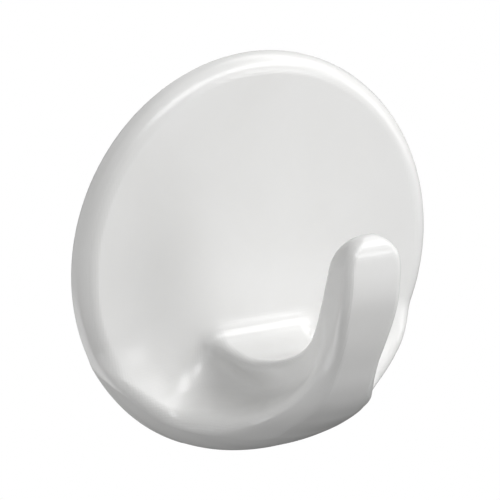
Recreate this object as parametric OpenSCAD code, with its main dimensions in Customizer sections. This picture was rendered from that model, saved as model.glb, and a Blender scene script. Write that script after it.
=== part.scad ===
// Round adhesive wall hook: one moulded plate with an integral J-shaped hook,
// held to the wall by a stretch-release adhesive strip with a hidden pull tab.
// Millimetres. X to the right, Z up, the wall is the plane Y = 0 and the hook
// stands out towards -Y. Depths below are distances from the wall, along -Y.

/* [Plate] */
// Radius of the round plate
plate_r = 22.5; // [21:0.1:24]
// Depth from the wall to the plate's back skirt
skirt_back = 0.6; // [0.5:0.05:0.7]
// Depth from the wall to the flat front face
face_d = 2.75; // [2.6:0.05:2.9]
// Radius at which the face turns down into the rounded rim
rim_in_r = 20.1; // [19.6:0.1:20.4]
// How far the rounded rim falls from the face to its outer edge
rim_fall = 1.6; // [1.3:0.05:1.7]
// Wall thickness of the skirt round the back
skirt_w = 1.6; // [1.2:0.1:2]
// Depth of the hollow field behind the plate, from the wall
field_d = 1.2; // [1.1:0.05:1.3]

/* [Lower lip] */
// How far the plate's lower edge is drawn forward beside the hook
lip_h = 6.8; // [5:0.1:7]
// Angle from straight down at which the lip has run out
lip_end = 66; // [60:1:70]
// Radius at which the lip starts to rise
lip_in_r = 11; // [10:0.5:13]

/* [Hook] */
// Half width of the hook's arm
arm_w = 3.5; // [3:0.1:3.8]
// How much the root widens on its upper side
root_w = 2.6; // [1.5:0.1:3]
// Steps between each two sections given for the hook
hook_steps = 3; // [2:1:4]
// Points round each section of the hook
hook_sides = 28; // [20:4:36]

/* [Strip] */
// Width of the adhesive strip
strip_w = 16; // [14:0.5:18]
// Height of the bonded length
strip_h = 30; // [26:1:31]
// Thickness of the strip's foam core
core_t = 0.7; // [0.6:0.05:0.75]
// Thickness of each adhesive layer
glue_t = 0.1; // [0.08:0.01:0.12]
// Thickness of the release liner
liner_t = 0.1; // [0.08:0.01:0.12]
// Overhang of the liner past the bonded length
liner_over = 0.5; // [0.3:0.1:0.8]
// Length of the pull tab below the bonded length
tab_h = 6.3; // [5:0.1:6.3]
// Width of the pull tab at its free end
tab_w = 12; // [10:0.5:12.5]
// Thickness of each tab film
film_t = 0.05; // [0.04:0.01:0.06]

/* [Hidden] */
$fn = 96;

// depths of the strip's layers, from the wall
glue0 = liner_t;
core0 = liner_t + glue_t;
core1 = core0 + core_t;
land_d = core1 + glue_t;

// smooth step and cubic through-point interpolation
function sm(t) = let (c = min(1, max(0, t))) c*c*(3 - 2*c);
function cr(a, b, c, d, t) = 0.5*(2*b + (c - a)*t + (2*a - 5*b + 4*c - d)*t*t
                             + (3*b - a - 3*c + d)*t*t*t);
function at(v, i) = v[max(0, min(len(v) - 1, i))];

// rim: (radius, depth) outline turned about the plate's axis
rim_n = 16;
rim_w = plate_r - 0.06 - rim_in_r;
// a quick gentle turn away from the face, then an ever steeper fall
function rim_g(v) = 0.17*(v - 0.12*ln(1 + v/0.12)) + 0.11*pow(v, 3);
function rim_d(r) = face_d - rim_fall*rim_g(max(0, r - rim_in_r))/rim_g(rim_w);
rim_pts = concat(
    [[0, skirt_back], [0, face_d]],
    [for (i = [0:rim_n]) let (r = rim_in_r + rim_w*i/rim_n) [r, rim_d(r)]],
    [[plate_r, max(face_d - rim_fall - 0.15, skirt_back + 0.12)],
     [plate_r, skirt_back + 0.1], [plate_r - 0.1, skirt_back]]);

// lip: height of the front surface beside the hook, over angle and radius
function lip_t(a) = min(1, max(0, (lip_end - abs(a))/(lip_end - 20)));
function lip_s(a) = let (t = lip_t(a)) 1.15*t*t/(t + 0.15);
function lip_b(r) = pow(max(0, (r - lip_in_r)/(20.5 - lip_in_r)), 2);
// underside limit: radius of the drawn-forward edge at a depth
function under_r(d) = lookup(d, [[0.6, 22.45], [1.6, 22.4], [2.7, 22.15], [4.3, 21.6], [6.0, 20.95],
                                 [8.8, 19.8], [12.6, 17.8], [16.3, 15.6], [20, 13], [30, 5]]);
// depth of the lip surface; it sinks just under the rounded rim where it runs out
function lip_top(a, r) = face_d - 0.08 + lip_h*lip_s(a)*lip_b(r)
                         - (face_d - rim_d(min(r, 22.3)))*(1 - sm(lip_t(a)/0.6));
// radius at which the lip surface meets the underside limit
function edge_r(a, r = 20, n = 8) = n == 0 ? r
    : edge_r(a, (r + under_r(face_d + lip_h*lip_s(a)*lip_b(r)))/2, n - 1);
function lip_pt(a, r, d) = [r*sin(a), -d, -r*cos(a)];
lip_n = 9;
lip_a = [for (i = [0:36]) -lip_end + i*2*lip_end/36];
lip_rows = [for (a = lip_a) let (re = edge_r(a), r1 = re - 0.45, d1 = lip_top(a, r1),
                                 d2 = max(1.6, d1 - 0.15), d3 = max(1.45, d1 - 0.75)) concat(
    [for (j = [0:lip_n]) let (r = lip_in_r + (r1 - lip_in_r)*j/lip_n) lip_pt(a, r, lip_top(a, r))],
    [lip_pt(a, min(re - 0.1, 22.05), d2)],
    [for (j = [0:3]) let (d = 1.1 + (d3 - 1.1)*(3 - j)/3)
        lip_pt(a, min(under_r(d), 22.2 + 0.2*sm(lip_t(a)/0.6)), d)],
    [lip_pt(a, lip_in_r, 1.35)])];

// hook: inner depth and height, outer depth and height, extra half width at
// the inner side, extra half width at the outer side, squareness of the section
hook_rows = [
    [ 1.6,  -7.4,  1.6, -21.9, 3.4, 9.0, 2.0],
    [ 2.6,  -8.2,  2.9, -21.7, 2.8, 8.6, 2.0],
    [ 4.6,  -9.2,  5.8, -20.7, 2.0, 7.2, 2.2],
    [ 8.5,  -9.8, 10.2, -18.8, 1.3, 5.0, 2.4],
    [12.6,  -8.8, 15.4, -15.8, 0.7, 2.6, 2.7],
    [16.2,  -6.8, 19.6, -11.8, 0.2, 0.8, 3.0],
    [18.9,  -3.6, 22.8,  -7.2, 0.0, -0.2, 3.3],
    [20.4,  -0.4, 25.1,  -2.3, 0.0, 0.0, 3.4],
    [21.4,   2.4, 26.0,   1.8, 0.0, 0.1, 3.2],
    [22.3,   4.6, 26.1,   4.0, 0.0, 0.1, 2.9],
    [23.0,   6.1, 25.9,   5.7, 0.0, 0.0, 2.6],
    [23.8,   7.0, 25.4,   6.8, 0.0, 0.0, 2.3],
    [24.4,   7.3, 25.0,   7.2, 0.0, 0.0, 2.0]];
hook_n = (len(hook_rows) - 1)*hook_steps;
function hook_at(k) = let (i = floor(k/hook_steps), t = k/hook_steps - i)
    [for (c = [0:6]) cr(at(hook_rows, i - 1)[c], at(hook_rows, i)[c],
                        at(hook_rows, i + 1)[c], at(hook_rows, i + 2)[c], t)];
// the arm narrows to a round end above this height
function tip_k(z) = sqrt(max(0.02, 1 - pow(max(0, z - 3.9)/3.45, 2)));
function sgn_pow(v, p) = sign(v)*pow(abs(v), p);
function clip_r(p) = let (r = sqrt(p[0]*p[0] + p[2]*p[2]), lim = under_r(-p[1]) - 0.05)
    r > lim ? [p[0]*lim/r, p[1], p[2]*lim/r] : p;
function hook_ring(h) = [for (j = [0:hook_sides - 1]) let (
    f = 360*j/hook_sides, s = sgn_pow(cos(f), 2/h[6]), u = sgn_pow(sin(f), 2/h[6]),
    d = (h[0] + h[2])/2 + s*(h[2] - h[0])/2, z = (h[1] + h[3])/2 + s*(h[3] - h[1])/2,
    w = (arm_w + root_w*h[4]/3.2*0.9 + (s + 1)/2*(h[5] - root_w*h[4]/3.2*0.9))*tip_k(max(h[1], h[3])))
    clip_r([w*u, -d, z])];

// closed skin through a list of rings, with a fan of triangles at each end
module tube(rows) {
    n = len(rows[0]);
    m = len(rows);
    e = (m - 1)*n;
    faces = concat(
        [for (j = [0:n - 3]) [n - 1, j, j + 1]],
        [for (j = [0:n - 3]) [e + n - 1, e + j + 1, e + j]],
        [for (k = [0:m - 2]) for (j = [0:n - 1]) let (a = k*n + j, b = k*n + (j + 1) % n,
            c = (k + 1)*n + (j + 1) % n, d = (k + 1)*n + j) each [[a, c, b], [a, d, c]]]);
    polyhedron(points = [for (r = rows) each r], faces = faces);
}

// a flat layer in the strip: depth from, depth to, outline in X and Z
module layer(d0, d1) {
    translate([0, -d0, 0]) rotate([90, 0, 0]) linear_extrude(height = d1 - d0) children();
}

module bonded_outline(w, h) {
    square([w, h], center = true);
}

// tab outline from the end of the bond down to a narrower rounded end
module tab_outline() {
    r = 3;
    y0 = -strip_h/2;
    y1 = y0 - tab_h;
    polygon(concat(
        [[-strip_w/2, y0], [-strip_w/2, y0 - 1.2]],
        [for (i = [0:8]) let (a = 180 + 90*i/8) [-tab_w/2 + r + r*cos(a), y1 + r + r*sin(a)]],
        [for (i = [0:8]) let (a = 270 + 90*i/8) [tab_w/2 - r + r*cos(a), y1 + r + r*sin(a)]],
        [[strip_w/2, y0 - 1.2], [strip_w/2, y0]]));
}

// plate, drawn-forward lower lip and J-shaped hook, with the hollow back
module hook_body() {
    color([0.93, 0.93, 0.92]) difference() {
        union() {
            rotate([90, 0, 0]) rotate_extrude($fn = 180) polygon(rim_pts);
            tube(lip_rows);
            tube([for (k = [0:hook_n]) hook_ring(hook_at(k))]);
        }
        // hollow field inside the skirt, all round the landing for the strip
        difference() {
            rotate([90, 0, 0]) translate([0, 0, skirt_back - 1])
                cylinder(r = plate_r - skirt_w, h = field_d - skirt_back + 1);
            translate([-strip_w/2 - 0.5, -field_d - 1, -strip_h/2 - 0.5])
                cube([strip_w + 1, 1 + field_d - land_d, strip_h + 1]);
        }
        // way out for the pull tab through the bottom of the skirt
        translate([-strip_w/2 - 1, -1.6, -plate_r - 1]) cube([strip_w + 2, 1.6, plate_r + 1 - strip_h/2 - 0.5]);
        // pocket behind the hook's root, above the tab
        translate([-4.5, -4.4, -19.3]) cube([9, 3.5, 3.6]);
    }
}

// stretchy foam carrier, bonded length and tab in one
module strip_core() {
    color([0.95, 0.94, 0.90]) layer(core0, core1) {
        bonded_outline(strip_w, strip_h);
        tab_outline();
    }
}

module hook_side_adhesive() {
    color([0.90, 0.88, 0.78]) layer(core1, land_d) bonded_outline(strip_w, strip_h);
}

module wall_side_adhesive() {
    color([0.90, 0.88, 0.78]) layer(glue0, core0) bonded_outline(strip_w, strip_h);
}

module tab_film_front() {
    color([0.75, 0.82, 0.90]) layer(core1, core1 + film_t) tab_outline();
}

module tab_film_back() {
    color([0.75, 0.82, 0.90]) layer(core0 - film_t, core0) tab_outline();
}

// liner over the wall side of the strip
module release_liner() {
    color([0.86, 0.90, 0.86]) layer(0, liner_t) bonded_outline(strip_w + 2*liner_over, strip_h + 2*liner_over);
}

hook_body();
strip_core();
hook_side_adhesive();
wall_side_adhesive();
tab_film_front();
tab_film_back();
release_liner();
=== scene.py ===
"""Adhesive wall hook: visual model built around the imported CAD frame.

All lengths inside the shape code are millimetres (x to the right, d = depth
out from the wall, z up) and become metres when a mesh is made.
"""

import math

import bpy
import numpy as np
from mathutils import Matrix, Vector


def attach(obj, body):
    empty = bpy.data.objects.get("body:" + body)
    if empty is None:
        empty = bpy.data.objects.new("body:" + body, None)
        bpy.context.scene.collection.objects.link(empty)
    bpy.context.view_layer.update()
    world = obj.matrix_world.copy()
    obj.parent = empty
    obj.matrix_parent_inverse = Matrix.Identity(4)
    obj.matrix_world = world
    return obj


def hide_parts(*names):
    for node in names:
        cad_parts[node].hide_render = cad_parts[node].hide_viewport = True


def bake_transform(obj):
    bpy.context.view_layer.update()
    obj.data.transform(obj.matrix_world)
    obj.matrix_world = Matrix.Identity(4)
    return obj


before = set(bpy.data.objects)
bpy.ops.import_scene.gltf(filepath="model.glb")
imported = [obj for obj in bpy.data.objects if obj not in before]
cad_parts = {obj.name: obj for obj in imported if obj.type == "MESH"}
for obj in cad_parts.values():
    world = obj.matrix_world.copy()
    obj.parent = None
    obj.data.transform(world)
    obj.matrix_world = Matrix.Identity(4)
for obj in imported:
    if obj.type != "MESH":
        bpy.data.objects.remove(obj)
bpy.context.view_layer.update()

# --------------------------------------------------------------- the camera
AZ, EL = math.radians(30.96), math.radians(15.28)
DIST, FOCAL = 0.450, 295.53
fwd = Vector((math.sin(AZ) * math.cos(EL), math.cos(AZ) * math.cos(EL), -math.sin(EL)))
right = Vector((math.cos(AZ), -math.sin(AZ), 0.0))
up = right.cross(fwd)
cam_data = bpy.data.cameras.new("camera")
cam = bpy.data.objects.new("camera", cam_data)
bpy.context.scene.collection.objects.link(cam)
cam_data.lens = FOCAL
cam_data.sensor_width = 36.0
cam_data.clip_start, cam_data.clip_end = 0.01, 100.0
cam.location = -fwd * DIST + right * 0.00031 - up * 0.000077
cam.rotation_mode = "QUATERNION"
cam.rotation_quaternion = fwd.to_track_quat("-Z", "Y")
bpy.context.scene.camera = cam


# ------------------------------------------------- field helpers (numpy, mm)
def smooth01(t):
    t = np.clip(t, 0.0, 1.0)
    return t * t * (3.0 - 2.0 * t)


def soft_pos(v, k):
    return 0.5 * (v + np.sqrt(v * v + k * k))


def smin(a, b, k):
    h = np.maximum(k - np.abs(a - b), 0.0) / k
    return np.minimum(a, b) - h * h * k * 0.25


def rmax(a, b, r):
    """Intersection of two fields with a rounded edge of radius r."""
    ar, br = a + r, b + r
    return np.hypot(np.maximum(ar, 0.0), np.maximum(br, 0.0)) + np.minimum(np.maximum(ar, br), 0.0) - r


def through(points, n=12):
    """Smooth curve through 2-D points, n steps between each two."""
    p = np.asarray(points, float)
    t = (np.arange(n) / n)[:, None]
    out = []
    for i in range(len(p) - 1):
        a, b, c, d = p[max(i - 1, 0)], p[i], p[i + 1], p[min(i + 2, len(p) - 1)]
        out.append(0.5 * (2 * b + (c - a) * t + (2 * a - 5 * b + 4 * c - d) * t ** 2 + (3 * b - a - 3 * c + d) * t ** 3))
    out.append(p[-1:])
    return np.concatenate(out)


class Profile:
    """Signed distance to a closed 2-D outline, kept on a grid and read with a smooth (quadratic) kernel."""

    def __init__(self, outline, lo, hi, step):
        xs = np.arange(lo[0], hi[0] + step / 2, step)
        ys = np.arange(lo[1], hi[1] + step / 2, step)
        gx, gy = np.meshgrid(xs, ys, indexing="ij")
        p = np.stack([gx.ravel(), gy.ravel()], 1)
        far = np.full(len(p), 1e9)
        inside = np.zeros(len(p), bool)
        a_all, b_all = outline, np.roll(outline, -1, 0)
        for a, b in zip(a_all, b_all):
            e = b - a
            l2 = float(e @ e)
            if l2 < 1e-12:
                continue
            w = p - a
            t = np.clip((w @ e) / l2, 0.0, 1.0)
            q = w - t[:, None] * e
            far = np.minimum(far, (q * q).sum(1))
            if a[1] != b[1]:
                cross = (a[1] > p[:, 1]) != (b[1] > p[:, 1])
                xi = (b[0] - a[0]) * (p[:, 1] - a[1]) / (b[1] - a[1]) + a[0]
                inside ^= cross & (p[:, 0] < xi)
        dist = np.sqrt(far)
        dist[inside] *= -1.0
        self.lo, self.step, self.g = np.array(lo, float), step, dist.reshape(gx.shape)

    def __call__(self, u, v):
        nu, nv = self.g.shape
        fu, fv = (u - self.lo[0]) / self.step, (v - self.lo[1]) / self.step
        cu, cv = np.clip(fu, 1.0, nu - 2.001), np.clip(fv, 1.0, nv - 2.001)
        i, j = np.floor(cu + 0.5).astype(int), np.floor(cv + 0.5).astype(int)
        a, b = cu - i, cv - j
        wu = [0.5 * (0.5 - a) ** 2, 0.75 - a * a, 0.5 * (0.5 + a) ** 2]
        wv = [0.5 * (0.5 - b) ** 2, 0.75 - b * b, 0.5 * (0.5 + b) ** 2]
        val = 0.0
        for s in (-1, 0, 1):
            for t in (-1, 0, 1):
                val = val + wu[s + 1] * wv[t + 1] * self.g[i + s, j + t]
        return val + np.hypot(fu - cu, fv - cv) * self.step


# ------------------------------------------------------ the moulded hook body
R = 22.55           # plate radius
FACE = 2.75         # depth of the flat front face
BACK = 0.6          # depth of the skirt's back edge
RIM_R = 20.1        # radius at which the face turns down into the rounded rim
LIP, LIP_A0, LIP_A1, LIP_R0, LIP_R1 = 8.0, 20.0, 68.0, 11.0, 20.5
SCOOP = 1.25        # depth of the shallow hollows beside the root
ARM_W, WAIST, ROOT_W, FLARE_W = 3.55, 0.55, 3.1, 8.6

INNER = [(0.5, -8.3), (2.3, -8.6), (4.0, -9.1), (6.0, -9.55), (8.5, -9.8), (11.8, -9.1), (14.8, -7.7),
         (17.3, -5.7), (19.0, -3.4), (20.3, -0.8), (21.2, 1.8), (22.1, 4.4)]
TIP = [(23.0, 6.3), (24.2, 7.3), (25.3, 7.0), (26.0, 5.6)]
OUTER = [(26.1, 3.8), (26.0, 2.0), (25.65, -0.1), (24.8, -2.75), (23.8, -5.3), (22.5, -7.9), (21.15, -10.4),
         (19.15, -13.1)]
# the outline steps outside the underside's limit where that limit shapes the root
BEYOND = [(17.2, -15.2), (15.0, -18.2), (12.0, -23.0), (6.0, -26.5), (0.5, -26.5)]
UNDER = [(16.3, -15.5), (12.6, -17.8), (8.8, -19.8), (6.0, -20.9), (3.5, -21.5), (0.7, -21.8)]
LIMIT = [(0.0, 22.49), (0.6, 22.45), (1.6, 22.29), (2.7, 22.08), (4.3, 21.6), (6.0, 20.95), (8.8, 19.8), (12.6, 17.85),
         (16.3, 15.6), (20.0, 13.0), (25.0, 9.0), (30.0, 5.0)]

_in = through(INNER, 24)
_out = through(OUTER[3:] + UNDER, 24)[::-1]
_lim = through(LIMIT, 24)
_profile = Profile(through(INNER + TIP + OUTER + BEYOND, 8), (-3.0, -29.0), (30.0, 12.0), 0.12)


def inner_z(d):
    return np.interp(d, _in[:, 0], _in[:, 1])


def outer_z(d):
    return np.interp(d, _out[:, 0], _out[:, 1])


def limit_r(x, d, z):
    """Radius of the outer edge at a depth, drawn in towards the bottom where the plate turns into the hook."""
    th = np.degrees(np.arctan2(np.abs(x), -z))
    return R + (np.interp(d, _lim[:, 0], _lim[:, 1]) - R) * smooth01((72.0 - th) / 22.0)


def rim_drop(v):
    """How far the rim falls away from the face at a distance v outside RIM_R: a quick turn, then a long slope."""
    return 0.17 * (v - 0.12 * np.log1p(v / 0.12)) + 0.11 * v ** 3


def front(x, z):
    """Depth of the front surface: flat face, rounded rim and the lower edge drawn forward beside the hook."""
    r = np.hypot(x, z)
    th = np.degrees(np.arctan2(np.abs(x), -z))
    u = np.clip((th - LIP_A0) / (LIP_A1 - LIP_A0), 0.0, 1.0)
    t = 1.0 - 1.1 * u * u / (u + 0.1)
    t = np.clip(t, 0.0, 1.0)
    b = np.clip((r - LIP_R0) / (LIP_R1 - LIP_R0), 0.0, 1.2) ** 2
    drop = rim_drop(np.clip(r - RIM_R, 0.0, 2.6))
    scoop = SCOOP * np.exp(-((np.abs(x) - 8.6) / 5.6) ** 2 - ((z + 13.7) / 4.0) ** 2)
    return FACE - scoop - drop * (1.0 - smooth01(t / 0.6)) + LIP * t * t / (t + 0.15) * b


def half_width(d, z):
    near = smooth01((17.0 - d) / 15.0)
    fl = np.minimum(soft_pos((21.3 - d) / 15.3, 0.10), 1.3)
    zi, zo = inner_z(d), outer_z(d)
    s = (zi - z) / np.maximum(zi - zo, 3.0)
    v = np.clip((s - 0.30) / 0.54, 0.0, 1.0)
    hull = v ** 3 * (v * (6.0 * v - 15.0) + 10.0) * (1.0 - 0.50 * smooth01((s - 0.76) / 0.24))
    under = np.clip(s / 0.30, 0.0, 1.0)
    w = ARM_W - WAIST * smooth01(-z / 8.0) + near * (ROOT_W - 1.3 * smooth01(under)) + fl * hull * FLARE_W
    t = np.clip((z - 3.6) / 4.0, 0.0, 1.0)
    return w * np.sqrt(np.maximum(1.0 - t * t, 0.0))


def box_field(x, z, cx, cz, hx, hz):
    qx, qz = np.abs(x - cx) - hx, np.abs(z - cz) - hz
    return np.hypot(np.maximum(qx, 0.0), np.maximum(qz, 0.0)) + np.minimum(np.maximum(qx, qz), 0.0)


def body_outside(x, d, z):
    r = np.hypot(x, z)
    e = 0.3
    gx = (front(x + e, z) - front(x - e, z)) / (2 * e)
    gz = (front(x, z + e) - front(x, z - e)) / (2 * e)
    plate = (d - front(x, z)) / np.sqrt(1.0 + gx * gx + gz * gz)
    edge = 1.0 + 0.4 * smooth01((18.0 - d) / 14.0)
    arm = rmax(_profile(d, z), np.abs(x) - half_width(d, z), edge)
    k = 2.4 + 5.6 * smooth01((-9.5 - z) / 4.0)
    both = smin(plate, arm, k)
    lim = limit_r(x, d, z)
    rim = (r - lim) * (1.0 - 0.12 * smooth01((R - lim) / 0.6))
    rad = 0.6 + 2.2 * smooth01((d - 2.2) / 6.0)
    rad = rad + (0.8 - rad) * smooth01((d - 12.0) / 5.0)
    return rmax(rmax(both, rim, rad), BACK - d, 0.3)


EJECTORS = [(14.6, 9.5), (-14.6, 9.5), (14.6, -9.5), (-14.6, -9.5), (0.0, 18.2)]


def back_cuts(x, d, z):
    """Field that is negative where the back is hollow."""
    r = np.hypot(x, z)
    hollow = rmax(r - 20.9, d - 1.2, 0.12)
    landing = rmax(box_field(x, z, 0.0, 0.0, 8.2, 15.2) - 0.3, 1.0 - d, 0.04)
    hollow = np.maximum(hollow, -landing)
    notch = rmax(rmax(np.abs(x) - 9.0, z + 15.5, 0.25), d - 1.6, 0.12)
    pocket = rmax(box_field(x, z, 0.0, -17.5, 4.1, 1.4) - 0.4, d - 4.4, 0.3)
    cut = np.minimum(np.minimum(hollow, notch), pocket)
    for ex, ez in EJECTORS:
        cut = np.minimum(cut, rmax(np.hypot(x - ex, z - ez) - 1.25, d - 1.38, 0.05))
    return cut


def body_field(x, d, z):
    out = body_outside(x, d, z)
    near = d < 5.2
    cut = np.full_like(out, 9.0)
    if near.any():
        cut[near] = back_cuts(x[near], d[near], z[near])
    return np.maximum(out, -cut)


def gradient(f, p, e=0.012):
    g = np.empty_like(p)
    for a in range(3):
        q = p.copy()
        q[:, a] += e
        hi = f(q[:, 0], q[:, 1], q[:, 2])
        q[:, a] -= 2 * e
        g[:, a] = hi - f(q[:, 0], q[:, 1], q[:, 2])
    g /= 2 * e
    return g


def dual_contour(f, xs, ds, zs, skip):
    """Quad mesh of f = 0 on a rectilinear grid, with vertices set on faces, edges and corners of the shape.
    Returns points (mm), quads, unit normals and a flag for points on smooth surface."""
    nx, nd, nz = len(xs), len(ds), len(zs)
    gx, gd, gz = np.meshgrid(xs, ds, zs, indexing="ij")
    val = np.full(gx.shape, 5.0)
    use = ~skip(gx, gd, gz)
    val[use] = f(gx[use], gd[use], gz[use])
    axes = (xs, ds, zs)
    ata, atb, mass, count, nsum = {}, {}, {}, {}, {}
    n_cells = (nx - 1) * (nd - 1) * (nz - 1)
    A = np.zeros((n_cells, 6))
    B = np.zeros((n_cells, 3))
    M = np.zeros((n_cells, 3))
    N = np.zeros((n_cells, 3))
    C = np.zeros(n_cells)
    quads = []

    def cell_id(i, j, k):
        return (i * (nd - 1) + j) * (nz - 1) + k

    for ax in range(3):
        lo = [slice(None)] * 3
        hi = [slice(None)] * 3
        lo[ax], hi[ax] = slice(0, -1), slice(1, None)
        a, b = val[tuple(lo)], val[tuple(hi)]
        idx = np.argwhere((a < 0) != (b < 0))
        o1, o2 = [q for q in range(3) if q != ax]
        ok = (idx[:, o1] > 0) & (idx[:, o1] < (nx, nd, nz)[o1] - 1) & (idx[:, o2] > 0) & (idx[:, o2] < (nx, nd, nz)[o2] - 1)
        idx = idx[ok]
        va, vb = a[tuple(idx.T)], b[tuple(idx.T)]
        p = np.stack([axes[q][idx[:, q]] for q in range(3)], 1)
        p0 = p[:, ax].copy()
        p1 = axes[ax][idx[:, ax] + 1]
        ta, tb, fa, fb = np.zeros(len(p)), np.ones(len(p)), va.copy(), vb.copy()
        for _ in range(4):
            t = np.clip(fa / (fa - fb), 0.02, 0.98)
            t = ta + (tb - ta) * t
            p[:, ax] = p0 + (p1 - p0) * t
            ft = f(p[:, 0], p[:, 1], p[:, 2])
            left = (ft < 0) == (fa < 0)
            ta, fa = np.where(left, t, ta), np.where(left, ft, fa)
            tb, fb = np.where(left, tb, t), np.where(left, fb, ft)
        t = ta + (tb - ta) * np.clip(fa / np.where(fa == fb, 1.0, fa - fb), 0.0, 1.0)
        p[:, ax] = p0 + (p1 - p0) * t
        g = gradient(f, p)
        g /= np.maximum(np.linalg.norm(g, axis=1, keepdims=True), 1e-9)
        gp = (g * p).sum(1)
        outer = np.stack([g[:, 0] * g[:, 0], g[:, 0] * g[:, 1], g[:, 0] * g[:, 2], g[:, 1] * g[:, 1], g[:, 1] * g[:, 2], g[:, 2] * g[:, 2]], 1)
        ids = []
        for s1, s2 in ((-1, -1), (0, -1), (0, 0), (-1, 0)):
            c = idx.copy()
            c[:, o1] += s1
            c[:, o2] += s2
            cid = cell_id(c[:, 0], c[:, 1], c[:, 2])
            ids.append(cid)
            for k in range(6):
                A[:, k] += np.bincount(cid, outer[:, k], n_cells)
            for k in range(3):
                B[:, k] += np.bincount(cid, g[:, k] * gp, n_cells)
                M[:, k] += np.bincount(cid, p[:, k], n_cells)
                N[:, k] += np.bincount(cid, g[:, k], n_cells)
            C += np.bincount(cid, minlength=n_cells)
        q = np.stack(ids, 1)
        # wound so that the normal points from inside to outside
        flip = (va < 0) if ax != 1 else (va >= 0)
        q[~flip] = q[~flip][:, ::-1]
        quads.append(q)
    quads = np.concatenate(quads)
    used = np.nonzero(C > 0)[0]
    m = M[used] / C[used, None]
    a = np.empty((len(used), 3, 3))
    a[:, 0, 0], a[:, 0, 1], a[:, 0, 2] = A[used, 0], A[used, 1], A[used, 2]
    a[:, 1, 0], a[:, 1, 1], a[:, 1, 2] = A[used, 1], A[used, 3], A[used, 4]
    a[:, 2, 0], a[:, 2, 1], a[:, 2, 2] = A[used, 2], A[used, 4], A[used, 5]
    lam = 0.05
    rhs = B[used] - (a @ m[:, :, None])[:, :, 0]
    v = m + np.linalg.solve(a + lam * np.eye(3), rhs[:, :, None])[:, :, 0]
    i = used // ((nd - 1) * (nz - 1))
    j = (used // (nz - 1)) % (nd - 1)
    k = used % (nz - 1)
    lo = np.stack([xs[i], ds[j], zs[k]], 1)
    hi = np.stack([xs[i + 1], ds[j + 1], zs[k + 1]], 1)
    v = np.clip(v, lo, hi)
    even = np.linalg.norm(N[used] / C[used, None], axis=1) > 0.97
    # points on smooth surface are set exactly on it
    for _ in range(2):
        w = v[even]
        g = gradient(f, w)
        g2 = np.maximum((g * g).sum(1, keepdims=True), 0.05)
        step = f(w[:, 0], w[:, 1], w[:, 2])[:, None] * g / g2
        v[even] = w - np.clip(step, -0.1, 0.1)
    nrm = gradient(f, v)
    nrm /= np.maximum(np.linalg.norm(nrm, axis=1, keepdims=True), 1e-9)
    index = np.zeros(n_cells, int)
    index[used] = np.arange(len(used))
    return v, index[quads], nrm, even


def mesh_object(name, points_mm, faces, smooth=True):
    """Mesh object in the row frame from points (x, d, z) in mm."""
    p = np.asarray(points_mm, float)
    co = np.stack([p[:, 0], -p[:, 1], p[:, 2]], 1) * 0.001
    me = bpy.data.meshes.new(name)
    me.from_pydata(co.tolist(), [], [list(map(int, q)) for q in faces])
    me.validate()
    me.update()
    ob = bpy.data.objects.new(name, me)
    bpy.context.scene.collection.objects.link(ob)
    me.polygons.foreach_set("use_smooth", [smooth] * len(me.polygons))
    return ob


STEP = 0.30
xs = np.arange(-76.5, 77.0, 1.0) * STEP
zs = np.arange(-76.5, 77.0, 1.0) * STEP
ds = np.concatenate([np.arange(0.46, 2.0, 0.11), np.arange(2.0, 26.6, STEP)])
pts, quads, nrm, even = dual_contour(
    body_field, xs, ds, zs,
    lambda x, d, z: ((d > 9.5) & ((np.abs(x) > 12.5) | (z < -21.5) | (z > 9.0))) | (np.hypot(x, z) > 23.4))
hook = mesh_object("moulded_hook_body", pts, quads)
me = hook.data
# true surface normals on the smooth parts keep the gloss even; edges stay crisp
corner_v = np.zeros(len(me.loops), int)
me.loops.foreach_get("vertex_index", corner_v)
fn = np.zeros(len(me.polygons) * 3)
me.polygons.foreach_get("normal", fn)
fn = np.repeat(fn.reshape(-1, 3), 4, axis=0)
vn = np.stack([nrm[:, 0], -nrm[:, 1], nrm[:, 2]], 1)[corner_v]
own = ((vn * fn).sum(1) > 0.80)
mixed = np.where(own[:, None], vn, fn)
me.normals_split_custom_set(mixed.tolist())
print("hook body", len(pts), "points", len(quads), "faces")


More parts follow.
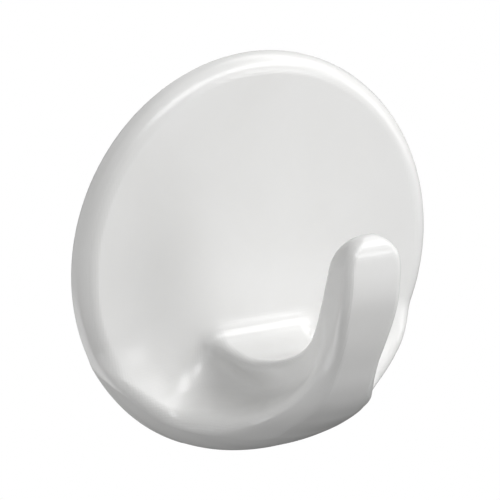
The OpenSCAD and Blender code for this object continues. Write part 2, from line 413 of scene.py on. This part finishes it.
# ----------------------------------------------------------- the strip's layers
def loft(name, rows, ring):
    """Closed quad skin. rows: [(z, half width, d0, d1)], ring: number of points across the wide sides."""
    pts, faces = [], []
    n = ring
    for z, w, d0, d1 in rows:
        h = (d1 - d0) / 2
        c = min(h * 0.9, 0.18)
        xs_ = np.linspace(-w + c, w - c, n)
        loop = [(x, d1) for x in xs_]
        loop += [(w - c + c * math.sin(a), d1 - c * (1 - math.cos(a)) * (h / c if c > 0 else 1)) for a in (0.55, 1.1)]
        loop += [(w, (d0 + d1) / 2)]
        loop += [(w - c + c * math.sin(a), d0 + c * (1 - math.cos(a)) * (h / c if c > 0 else 1)) for a in (1.1, 0.55)]
        loop += [(x, d0) for x in xs_[::-1]]
        loop += [(-(w - c + c * math.sin(a)), d0 + c * (1 - math.cos(a)) * (h / c if c > 0 else 1)) for a in (0.55, 1.1)]
        loop += [(-w, (d0 + d1) / 2)]
        loop += [(-(w - c + c * math.sin(a)), d1 - c * (1 - math.cos(a)) * (h / c if c > 0 else 1)) for a in (1.1, 0.55)]
        pts += [(x, d, z) for x, d in loop]
    m = 2 * n + 10
    for r in range(len(rows) - 1):
        for i in range(m):
            a, b = r * m + i, r * m + (i + 1) % m
            faces.append((a, b, b + m, a + m))
    # caps: strips of quads between the two wide sides
    for base, turn in ((0, False), ((len(rows) - 1) * m, True)):
        top = [base + i for i in range(n)]
        bottom = [base + n + 5 + (n - 1 - i) for i in range(n)]
        caps = [(top[i], bottom[i], bottom[i + 1], top[i + 1]) for i in range(n - 1)]
        e0 = base + n
        caps.append((top[-1], bottom[-1], e0 + 4, e0))
        caps.append((e0, e0 + 4, e0 + 3, e0 + 1))
        caps.append((e0 + 1, e0 + 3, e0 + 2))
        e1 = base + 2 * n + 5
        caps.append((bottom[0], top[0], e1 + 4, e1))
        caps.append((e1, e1 + 4, e1 + 3, e1 + 1))
        caps.append((e1 + 1, e1 + 3, e1 + 2))
        faces += [q[::-1] if turn else q for q in caps]
    return mesh_object(name, pts, faces)


def wave(z, k, seed):
    return (math.sin(z * k + seed) + 0.6 * math.sin(z * k * 2.3 + 1.7 * seed) + 0.4 * math.sin(z * k * 5.1 + 2.9 * seed)) / 2.0


def tab_half(z):
    """Half width of the pull tab's outline at a height."""
    if z > -16.2:
        return 8.0
    if z > -18.3:
        return 8.0 - 2.0 * (-16.2 - z) / 2.1
    return 3.0 + math.sqrt(max(0.0, 9.0 - (z + 18.3) ** 2))


def ease(w, z, z0, z1, r=0.5):
    """Corners of the outline rounded off at both ends."""
    e = min(z1 - z, z - z0)
    return w - (r - math.sqrt(max(0.0, r * r - (r - e) ** 2)) if e < r else 0.0)


core_z = np.concatenate([np.array([15.0, 14.95, 14.85, 14.7, 14.5]), np.arange(14.0, -18.2, -0.5),
                         -18.3 - 3.0 * np.sin(np.linspace(0.0, math.pi / 2, 11))[1:]])
core = loft("strip_foam_core",
            [(float(z), (ease(8.0, z, -99, 15.0, 0.4) if z > -15 else tab_half(z)) - 0.02 + 0.02 * wave(z, 2.1, 0.4), 0.205, 0.895) for z in core_z], 17)
glue_z = np.concatenate([np.array([14.98, 14.93, 14.8, 14.6]), np.arange(14.3, -14.4, -0.5), np.array([-14.6, -14.8, -14.93, -14.98])])
glue_hook = loft("hook_side_glue", [(float(z), ease(7.96, z, -14.98, 14.98, 0.4) + 0.03 * wave(z, 1.6, 2.2), 0.898, 0.998) for z in glue_z], 15)
glue_wall = loft("wall_side_glue", [(float(z), ease(7.96, z, -14.98, 14.98, 0.4) + 0.03 * wave(z, 1.9, 5.1), 0.102, 0.202) for z in glue_z], 15)
film_z = np.concatenate([np.arange(-15.05, -18.2, -0.35), -18.3 - 3.0 * np.sin(np.linspace(0.0, math.pi / 2, 11))])
film_front = loft("tab_front_film", [(float(z), tab_half(z), 0.9, 0.948) for z in film_z], 13)
film_back = loft("tab_back_film", [(float(z), tab_half(z), 0.152, 0.2) for z in film_z], 13)
liner_end = 15.5 - 1.6 * (1 - np.cos(np.linspace(0, math.pi / 2, 10)))
liner_z = np.concatenate([liner_end, np.arange(13.5, -13.6, -0.5), -liner_end[::-1]])
liner = loft("backing_liner", [(float(z), ease(8.5, z, -15.5, 15.5, 1.6), 0.002, 0.098) for z in liner_z], 15)

pieces = {
    hook: (["hook_body"], "white_gloss_plastic"),
    core: (["strip_core"], "foam_core"),
    glue_hook: (["hook_side_adhesive"], "clear_adhesive"),
    glue_wall: (["wall_side_adhesive"], "clear_adhesive"),
    film_front: (["tab_film_front"], "tab_film"),
    film_back: (["tab_film_back"], "tab_film"),
    liner: (["release_liner"], "liner_paper"),
}


# ------------------------------------------------------------------- materials
def new_material(name):
    mat = bpy.data.materials.new(name)
    mat.use_nodes = True
    nt = mat.node_tree
    nt.nodes.clear()
    out = nt.nodes.new("ShaderNodeOutputMaterial")
    bsdf = nt.nodes.new("ShaderNodeBsdfPrincipled")
    nt.links.new(bsdf.outputs[0], out.inputs[0])
    return mat, nt, bsdf


def noise(nt, coords, scale, detail=3.0, rough=0.5, distortion=0.0):
    n = nt.nodes.new("ShaderNodeTexNoise")
    n.inputs["Scale"].default_value = scale
    n.inputs["Detail"].default_value = detail
    n.inputs["Roughness"].default_value = rough
    n.inputs["Distortion"].default_value = distortion
    nt.links.new(coords, n.inputs["Vector"])
    return n.outputs["Fac"]


def ramp(nt, fac, stops):
    r = nt.nodes.new("ShaderNodeValToRGB")
    el = r.color_ramp.elements
    el[0].position, el[0].color = stops[0][0], (*stops[0][1], 1.0)
    el[1].position, el[1].color = stops[-1][0], (*stops[-1][1], 1.0)
    for pos, col in stops[1:-1]:
        e = el.new(pos)
        e.color = (*col, 1.0)
    nt.links.new(fac, r.inputs[0])
    return r.outputs[0]


def remap(nt, fac, lo, hi, a=0.0, b=1.0):
    m = nt.nodes.new("ShaderNodeMapRange")
    m.inputs["From Min"].default_value, m.inputs["From Max"].default_value = a, b
    m.inputs["To Min"].default_value, m.inputs["To Max"].default_value = lo, hi
    nt.links.new(fac, m.inputs["Value"])
    return m.outputs[0]


def math_node(nt, op, a, b=None):
    m = nt.nodes.new("ShaderNodeMath")
    m.operation = op
    for i, v in enumerate((a, b)):
        if v is None:
            continue
        if isinstance(v, (int, float)):
            m.inputs[i].default_value = v
        else:
            nt.links.new(v, m.inputs[i])
    return m.outputs[0]


def mix_color(nt, fac, a, b, blend="MIX"):
    m = nt.nodes.new("ShaderNodeMix")
    m.data_type = "RGBA"
    m.blend_type = blend
    ins = [s for s in m.inputs if s.enabled]
    for sock, v in zip(ins, (fac, a, b)):
        if isinstance(v, (int, float)):
            sock.default_value = v
        elif isinstance(v, tuple):
            sock.default_value = (*v, 1.0)
        else:
            nt.links.new(v, sock)
    return [s for s in m.outputs if s.enabled][0]


def bump(nt, bsdf, height, distance, strength=1.0):
    b = nt.nodes.new("ShaderNodeBump")
    b.inputs["Strength"].default_value = strength
    b.inputs["Distance"].default_value = distance
    nt.links.new(height, b.inputs["Height"])
    nt.links.new(b.outputs[0], bsdf.inputs["Normal"])


def coords(nt):
    return nt.nodes.new("ShaderNodeTexCoord").outputs["Object"]


# glossy white moulded plastic: faint flow mottling, uneven gloss and orange peel
mat_body, nt, bs = new_material("white_gloss_moulding")
co = coords(nt)
flow = noise(nt, co, 70.0, 4.0, 0.55, 0.6)
col = ramp(nt, flow, [(0.30, (0.762, 0.760, 0.750)), (0.55, (0.780, 0.779, 0.771)), (0.75, (0.792, 0.792, 0.786))])
nt.links.new(col, bs.inputs["Base Color"])
rough_a = remap(nt, noise(nt, co, 160.0, 3.0, 0.6), 0.215, 0.250, 0.1, 0.9)
rough_b = remap(nt, noise(nt, co, 1500.0, 2.0), -0.008, 0.008, 0.1, 0.9)
nt.links.new(math_node(nt, "ADD", rough_a, rough_b), bs.inputs["Roughness"])
peel = noise(nt, co, 520.0, 2.0, 0.4)
fine = noise(nt, co, 2400.0, 2.0, 0.5)
hgt = math_node(nt, "ADD", peel, math_node(nt, "MULTIPLY", fine, 0.12))
bump(nt, bs, hgt, 0.000012, 0.6)
bs.inputs["IOR"].default_value = 1.50
bs.inputs["Specular IOR Level"].default_value = 0.5

# off-white closed-cell foam
mat_foam, nt, bs = new_material("cell_foam")
co = coords(nt)
vor = nt.nodes.new("ShaderNodeTexVoronoi")
vor.inputs["Scale"].default_value = 4200.0
nt.links.new(co, vor.inputs["Vector"])
cells = vor.outputs["Distance"]
tone = noise(nt, co, 240.0, 4.0, 0.6)
col = ramp(nt, tone, [(0.3, (0.72, 0.70, 0.62)), (0.7, (0.82, 0.80, 0.73))])
col = mix_color(nt, remap(nt, cells, 0.0, 0.45, 0.25, 0.75), col, (0.60, 0.58, 0.50))
nt.links.new(col, bs.inputs["Base Color"])
nt.links.new(remap(nt, tone, 0.82, 0.95, 0.3, 0.7), bs.inputs["Roughness"])
bump(nt, bs, math_node(nt, "SUBTRACT", 1.0, cells), 0.00004, 0.8)

# tacky clear adhesive film, slightly yellow, with small trapped bubbles
mat_glue, nt, bs = new_material("clear_tacky_film")
co = coords(nt)
vor = nt.nodes.new("ShaderNodeTexVoronoi")
vor.inputs["Scale"].default_value = 900.0
nt.links.new(co, vor.inputs["Vector"])
bub = remap(nt, vor.outputs["Distance"], 1.0, 0.0, 0.06, 0.14)
tone = noise(nt, co, 180.0, 4.0, 0.6)
col = ramp(nt, tone, [(0.3, (0.70, 0.66, 0.50)), (0.7, (0.80, 0.77, 0.64))])
col = mix_color(nt, math_node(nt, "MULTIPLY", bub, 0.5), col, (0.90, 0.89, 0.82))
nt.links.new(col, bs.inputs["Base Color"])
nt.links.new(remap(nt, tone, 0.25, 0.42, 0.3, 0.7), bs.inputs["Roughness"])
bump(nt, bs, math_node(nt, "ADD", tone, math_node(nt, "MULTIPLY", bub, 0.4)), 0.00002, 0.6)
bs.inputs["Transmission Weight"].default_value = 0.15

# satin tab film with a fine generic hatch
mat_film, nt, bs = new_material("satin_tab_film")
co = coords(nt)
sep = nt.nodes.new("ShaderNodeSeparateXYZ")
nt.links.new(co, sep.inputs[0])
diag = math_node(nt, "ADD", sep.outputs["X"], sep.outputs["Z"])
saw = math_node(nt, "SINE", math_node(nt, "MULTIPLY", diag, 2 * math.pi / 0.0011))
line = remap(nt, saw, 0.0, 1.0, 0.55, 0.80)
tone = noise(nt, co, 320.0, 3.0, 0.6)
base = ramp(nt, tone, [(0.3, (0.50, 0.62, 0.76)), (0.7, (0.57, 0.68, 0.81))])
nt.links.new(mix_color(nt, math_node(nt, "MULTIPLY", line, 0.6), base, (0.30, 0.44, 0.64)), bs.inputs["Base Color"])
nt.links.new(remap(nt, tone, 0.34, 0.48, 0.3, 0.7), bs.inputs["Roughness"])
bump(nt, bs, math_node(nt, "ADD", saw, tone), 0.000006, 0.7)

# silicone-coated liner paper: fibres, and a generic diagonal stripe
mat_liner, nt, bs = new_material("coated_liner_paper")
co = coords(nt)
sep = nt.nodes.new("ShaderNodeSeparateXYZ")
nt.links.new(co, sep.inputs[0])
diag = math_node(nt, "SUBTRACT", sep.outputs["X"], sep.outputs["Z"])
saw = math_node(nt, "SINE", math_node(nt, "MULTIPLY", diag, 2 * math.pi / 0.0062))
stripe = remap(nt, saw, 0.0, 1.0, 0.62, 0.70)
fibre = noise(nt, co, 900.0, 6.0, 0.7, 1.2)
base = ramp(nt, fibre, [(0.3, (0.70, 0.76, 0.70)), (0.7, (0.78, 0.83, 0.78))])
nt.links.new(mix_color(nt, math_node(nt, "MULTIPLY", stripe, 0.55), base, (0.40, 0.58, 0.50)), bs.inputs["Base Color"])
nt.links.new(remap(nt, fibre, 0.36, 0.52, 0.3, 0.7), bs.inputs["Roughness"])
bump(nt, bs, fibre, 0.00001, 0.7)

mats = {hook: mat_body, core: mat_foam, glue_hook: mat_glue, glue_wall: mat_glue, film_front: mat_film,
        film_back: mat_film, liner: mat_liner}
for ob, mat in mats.items():
    ob.data.materials.append(mat)
for ob in (core, glue_hook, glue_wall, film_front, film_back, liner):
    ob.data.set_sharp_from_angle(angle=math.radians(40.0))

# ------------------------------------------------------- CAD parts hidden, pieces attached to bodies
for ob, (nodes, slot) in pieces.items():
    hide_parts(*nodes)
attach(hook, "hook")
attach(film_front, "pull_tab")
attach(film_back, "pull_tab")
for ob in (core, glue_hook, glue_wall):
    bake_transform(ob)
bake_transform(liner)

# ------------------------------------------------------------ floor and light
scene = bpy.context.scene
scene.view_settings.view_transform = "Standard"
scene.view_settings.look = "None"
scene.view_settings.exposure = 0.0
scene.view_settings.gamma = 1.0


def camera_white(nt, shader, out_socket):
    """The camera sees plain white; the object sees the shader."""
    lp = nt.nodes.new("ShaderNodeLightPath")
    kind = "ShaderNodeBackground" if out_socket.node.bl_idname == "ShaderNodeOutputWorld" else "ShaderNodeEmission"
    white = nt.nodes.new(kind)
    white.inputs["Color"].default_value = (1.0, 1.0, 1.0, 1.0)
    white.inputs["Strength"].default_value = 1.0
    mixer = nt.nodes.new("ShaderNodeMixShader")
    nt.links.new(lp.outputs["Is Camera Ray"], mixer.inputs[0])
    nt.links.new(shader, mixer.inputs[1])
    nt.links.new(white.outputs[0], mixer.inputs[2])
    nt.links.new(mixer.outputs[0], out_socket)


world = bpy.data.worlds.new("studio")
scene.world = world
world.use_nodes = True
nt = world.node_tree
nt.nodes.clear()
out = nt.nodes.new("ShaderNodeOutputWorld")
bg = nt.nodes.new("ShaderNodeBackground")
bg.name = "ambient"
bg.inputs["Color"].default_value = (1.0, 1.0, 1.0, 1.0)
bg.inputs["Strength"].default_value = 0.15
camera_white(nt, bg.outputs[0], out.inputs[0])

fm, nt, bs = new_material("pale_floor")
nt.links.new(ramp(nt, noise(nt, coords(nt), 3.0, 4.0), [(0.3, (0.24, 0.24, 0.24)), (0.7, (0.26, 0.26, 0.26))]), bs.inputs["Base Color"])
bs.inputs["Roughness"].default_value = 0.9
fout = [n for n in nt.nodes if n.bl_idname == "ShaderNodeOutputMaterial"][0]
camera_white(nt, bs.outputs[0], fout.inputs[0])
fme = bpy.data.meshes.new("floor")
n, s = 12, 12.0
fme.from_pydata([((i / n - 0.5) * 2 * s, (j / n - 0.5) * 2 * s, 0.0) for j in range(n + 1) for i in range(n + 1)], [],
                [(j * (n + 1) + i, j * (n + 1) + i + 1, (j + 1) * (n + 1) + i + 1, (j + 1) * (n + 1) + i) for j in range(n) for i in range(n)])
floor = bpy.data.objects.new("floor", fme)
floor.location = (0.0, 0.0, -0.80)
scene.collection.objects.link(floor)
fme.materials.append(fm)

# name: azimuth, elevation (degrees, as for the views), distance, size (m), power (W)
LIGHTS = {
    "key": (40.0, 37.0, 0.9, 0.42, 2.7),
    "key_left": (5.0, 37.0, 0.9, 0.46, 2.9),
    "key_right": (75.0, 40.0, 0.9, 0.46, 1.8),
    "top_right": (100.0, 60.0, 0.9, 0.46, 1.2),
    "back_left": (-120.0, 40.0, 0.9, 0.46, 0.5),
    "back_top": (170.0, 36.0, 0.9, 0.46, 0.7),
    "right": (32.0, 7.0, 0.9, 0.24, 0.8),
    "far_right": (65.0, 10.0, 0.9, 0.46, 1.4),
    "left": (-105.0, 3.0, 0.9, 0.9, 1.5),
    "front_left": (-55.0, -15.0, 0.9, 0.7, 1.1),
    "low_right": (35.0, -15.0, 0.9, 0.46, 0.6),
    "low_left": (-120.0, -42.0, 0.9, 0.7, 2.6),
}
for name, (az, el, dist, size, power) in LIGHTS.items():
    a, e = math.radians(az), math.radians(el)
    back = Vector((math.sin(a) * math.cos(e), -math.cos(a) * math.cos(e), math.sin(e)))
    ld = bpy.data.lights.new("light_" + name, "AREA")
    ld.shape = "DISK"
    ld.size = size
    ld.energy = power
    lo = bpy.data.objects.new("light_" + name, ld)
    lo.location = back * dist + Vector((0.0, -0.01, 0.0))
    lo.rotation_mode = "QUATERNION"
    lo.rotation_quaternion = (-back).to_track_quat("-Z", "Y")
    lo.visible_camera = False
    scene.collection.objects.link(lo)
